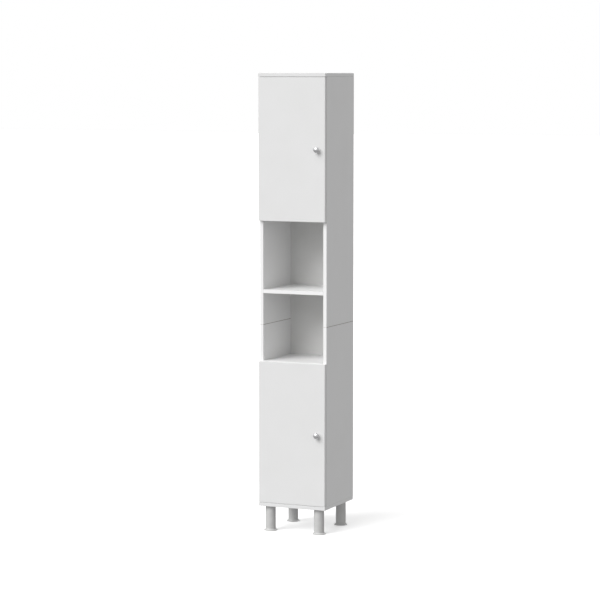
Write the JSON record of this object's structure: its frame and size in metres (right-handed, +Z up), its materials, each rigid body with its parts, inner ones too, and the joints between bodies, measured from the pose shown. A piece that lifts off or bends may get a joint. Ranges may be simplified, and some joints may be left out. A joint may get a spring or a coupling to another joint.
{
  "type": "tall bathroom cabinet",
  "caption": "Tall narrow free-standing bathroom cabinet with a cupboard above and below an open bay, on round legs.",
  "frame": {"origin": "on the floor, in the middle of the whole outline with the knobs", "axes": "+Z up, -Y towards the front (the doors), +X to the right as seen from the front"},
  "size_m": [0.3, 0.322, 1.9],
  "materials": {
    "white_board": "satin white melamine on chipboard",
    "back_board": "white lacquered hardboard",
    "white_plastic": "matte",
    "dowel_wood": "plain beech",
    "fitting_zinc": "zinc plated",
    "hinge_steel": "nickel plated",
    "knob_metal": "satin chrome",
    "grey_plastic": "fine matte",
    "bumper_rubber": "soft clear"
  },
  "bodies": {
    "root": {"top_panel": "white_board", "bottom_panel": "white_board", "side_left_lower": "white_board", "side_left_upper": "white_board", "side_right_lower": "white_board", "side_right_upper": "white_board", "open_bay_floor": "white_board", "open_shelf": "white_board", "upper_cupboard_floor": "white_board", "upper_inner_shelf": "white_board", "lower_inner_shelf": "white_board", "back_panel_lower": "back_board", "back_panel_upper": "back_board", "back_joint_strip": "white_plastic", "dowels": "dowel_wood", "cam_bolts": "fitting_zinc", "cam_locks": "fitting_zinc", "shelf_pegs": "fitting_zinc", "hinge_plate_screws": "fitting_zinc", "hinge_arm_screws": "fitting_zinc", "bracket_screws": "fitting_zinc", "wall_brackets": "fitting_zinc", "leg_studs": "fitting_zinc", "hinge_plates": "hinge_steel", "hinge_arms": "hinge_steel", "hinge_arm_pins": "hinge_steel", "leg_front_left": "grey_plastic", "leg_front_right": "grey_plastic", "leg_rear_left": "grey_plastic", "leg_rear_right": "grey_plastic"},
    "upper_hinge_links": {"hinge_links_upper": "hinge_steel"},
    "upper_door": {"door_upper": "white_board", "knob_upper": "knob_metal", "knob_screw_upper": "fitting_zinc", "hinge_cups_upper": "hinge_steel", "hinge_cup_screws_upper": "fitting_zinc", "hinge_cup_pins_upper": "hinge_steel", "bumpers_upper": "bumper_rubber"},
    "lower_hinge_links": {"hinge_links_lower": "hinge_steel"},
    "lower_door": {"door_lower": "white_board", "knob_lower": "knob_metal", "knob_screw_lower": "fitting_zinc", "hinge_cups_lower": "hinge_steel", "hinge_cup_screws_lower": "fitting_zinc", "hinge_cup_pins_lower": "hinge_steel", "bumpers_lower": "bumper_rubber"},
    "foot_front_left": {"foot_front_left": "grey_plastic"},
    "foot_front_right": {"foot_front_right": "grey_plastic"},
    "foot_rear_left": {"foot_rear_left": "grey_plastic"},
    "foot_rear_right": {"foot_rear_right": "grey_plastic"}
  },
  "joints": [
    {"name": "upper_hinge_link_turn", "type": "hinge", "parent": "root", "child": "upper_hinge_links", "pos_m": [-0.1155, -0.13, 1.589], "axis": [0, 0, 1], "range_deg": [0, 70.84]},
    {"name": "upper_door_swing", "type": "hinge", "parent": "upper_hinge_links", "child": "upper_door", "pos_m": [-0.1336, -0.1266, 1.589], "axis": [0, 0, -1], "range_deg": [0, 162.83]},
    {"name": "lower_hinge_link_turn", "type": "hinge", "parent": "root", "child": "lower_hinge_links", "pos_m": [-0.1155, -0.13, 0.416], "axis": [0, 0, 1], "range_deg": [0, 70.84]},
    {"name": "lower_door_swing", "type": "hinge", "parent": "lower_hinge_links", "child": "lower_door", "pos_m": [-0.1336, -0.1266, 0.416], "axis": [0, 0, -1], "range_deg": [0, 162.83]},
    {"name": "foot_front_left_screw_out", "type": "slide", "parent": "root", "child": "foot_front_left", "axis": [0, 0, -1], "range_m": [0, 0.012]},
    {"name": "foot_front_right_screw_out", "type": "slide", "parent": "root", "child": "foot_front_right", "axis": [0, 0, -1], "range_m": [0, 0.012]},
    {"name": "foot_rear_left_screw_out", "type": "slide", "parent": "root", "child": "foot_rear_left", "axis": [0, 0, -1], "range_m": [0, 0.012]},
    {"name": "foot_rear_right_screw_out", "type": "slide", "parent": "root", "child": "foot_rear_right", "axis": [0, 0, -1], "range_m": [0, 0.012]}
  ],
  "couplings": [
    {"joint": "upper_hinge_link_turn", "follows": "upper_door_swing", "ratio": 0.43503},
    {"joint": "lower_hinge_link_turn", "follows": "lower_door_swing", "ratio": 0.43503}
  ]
}
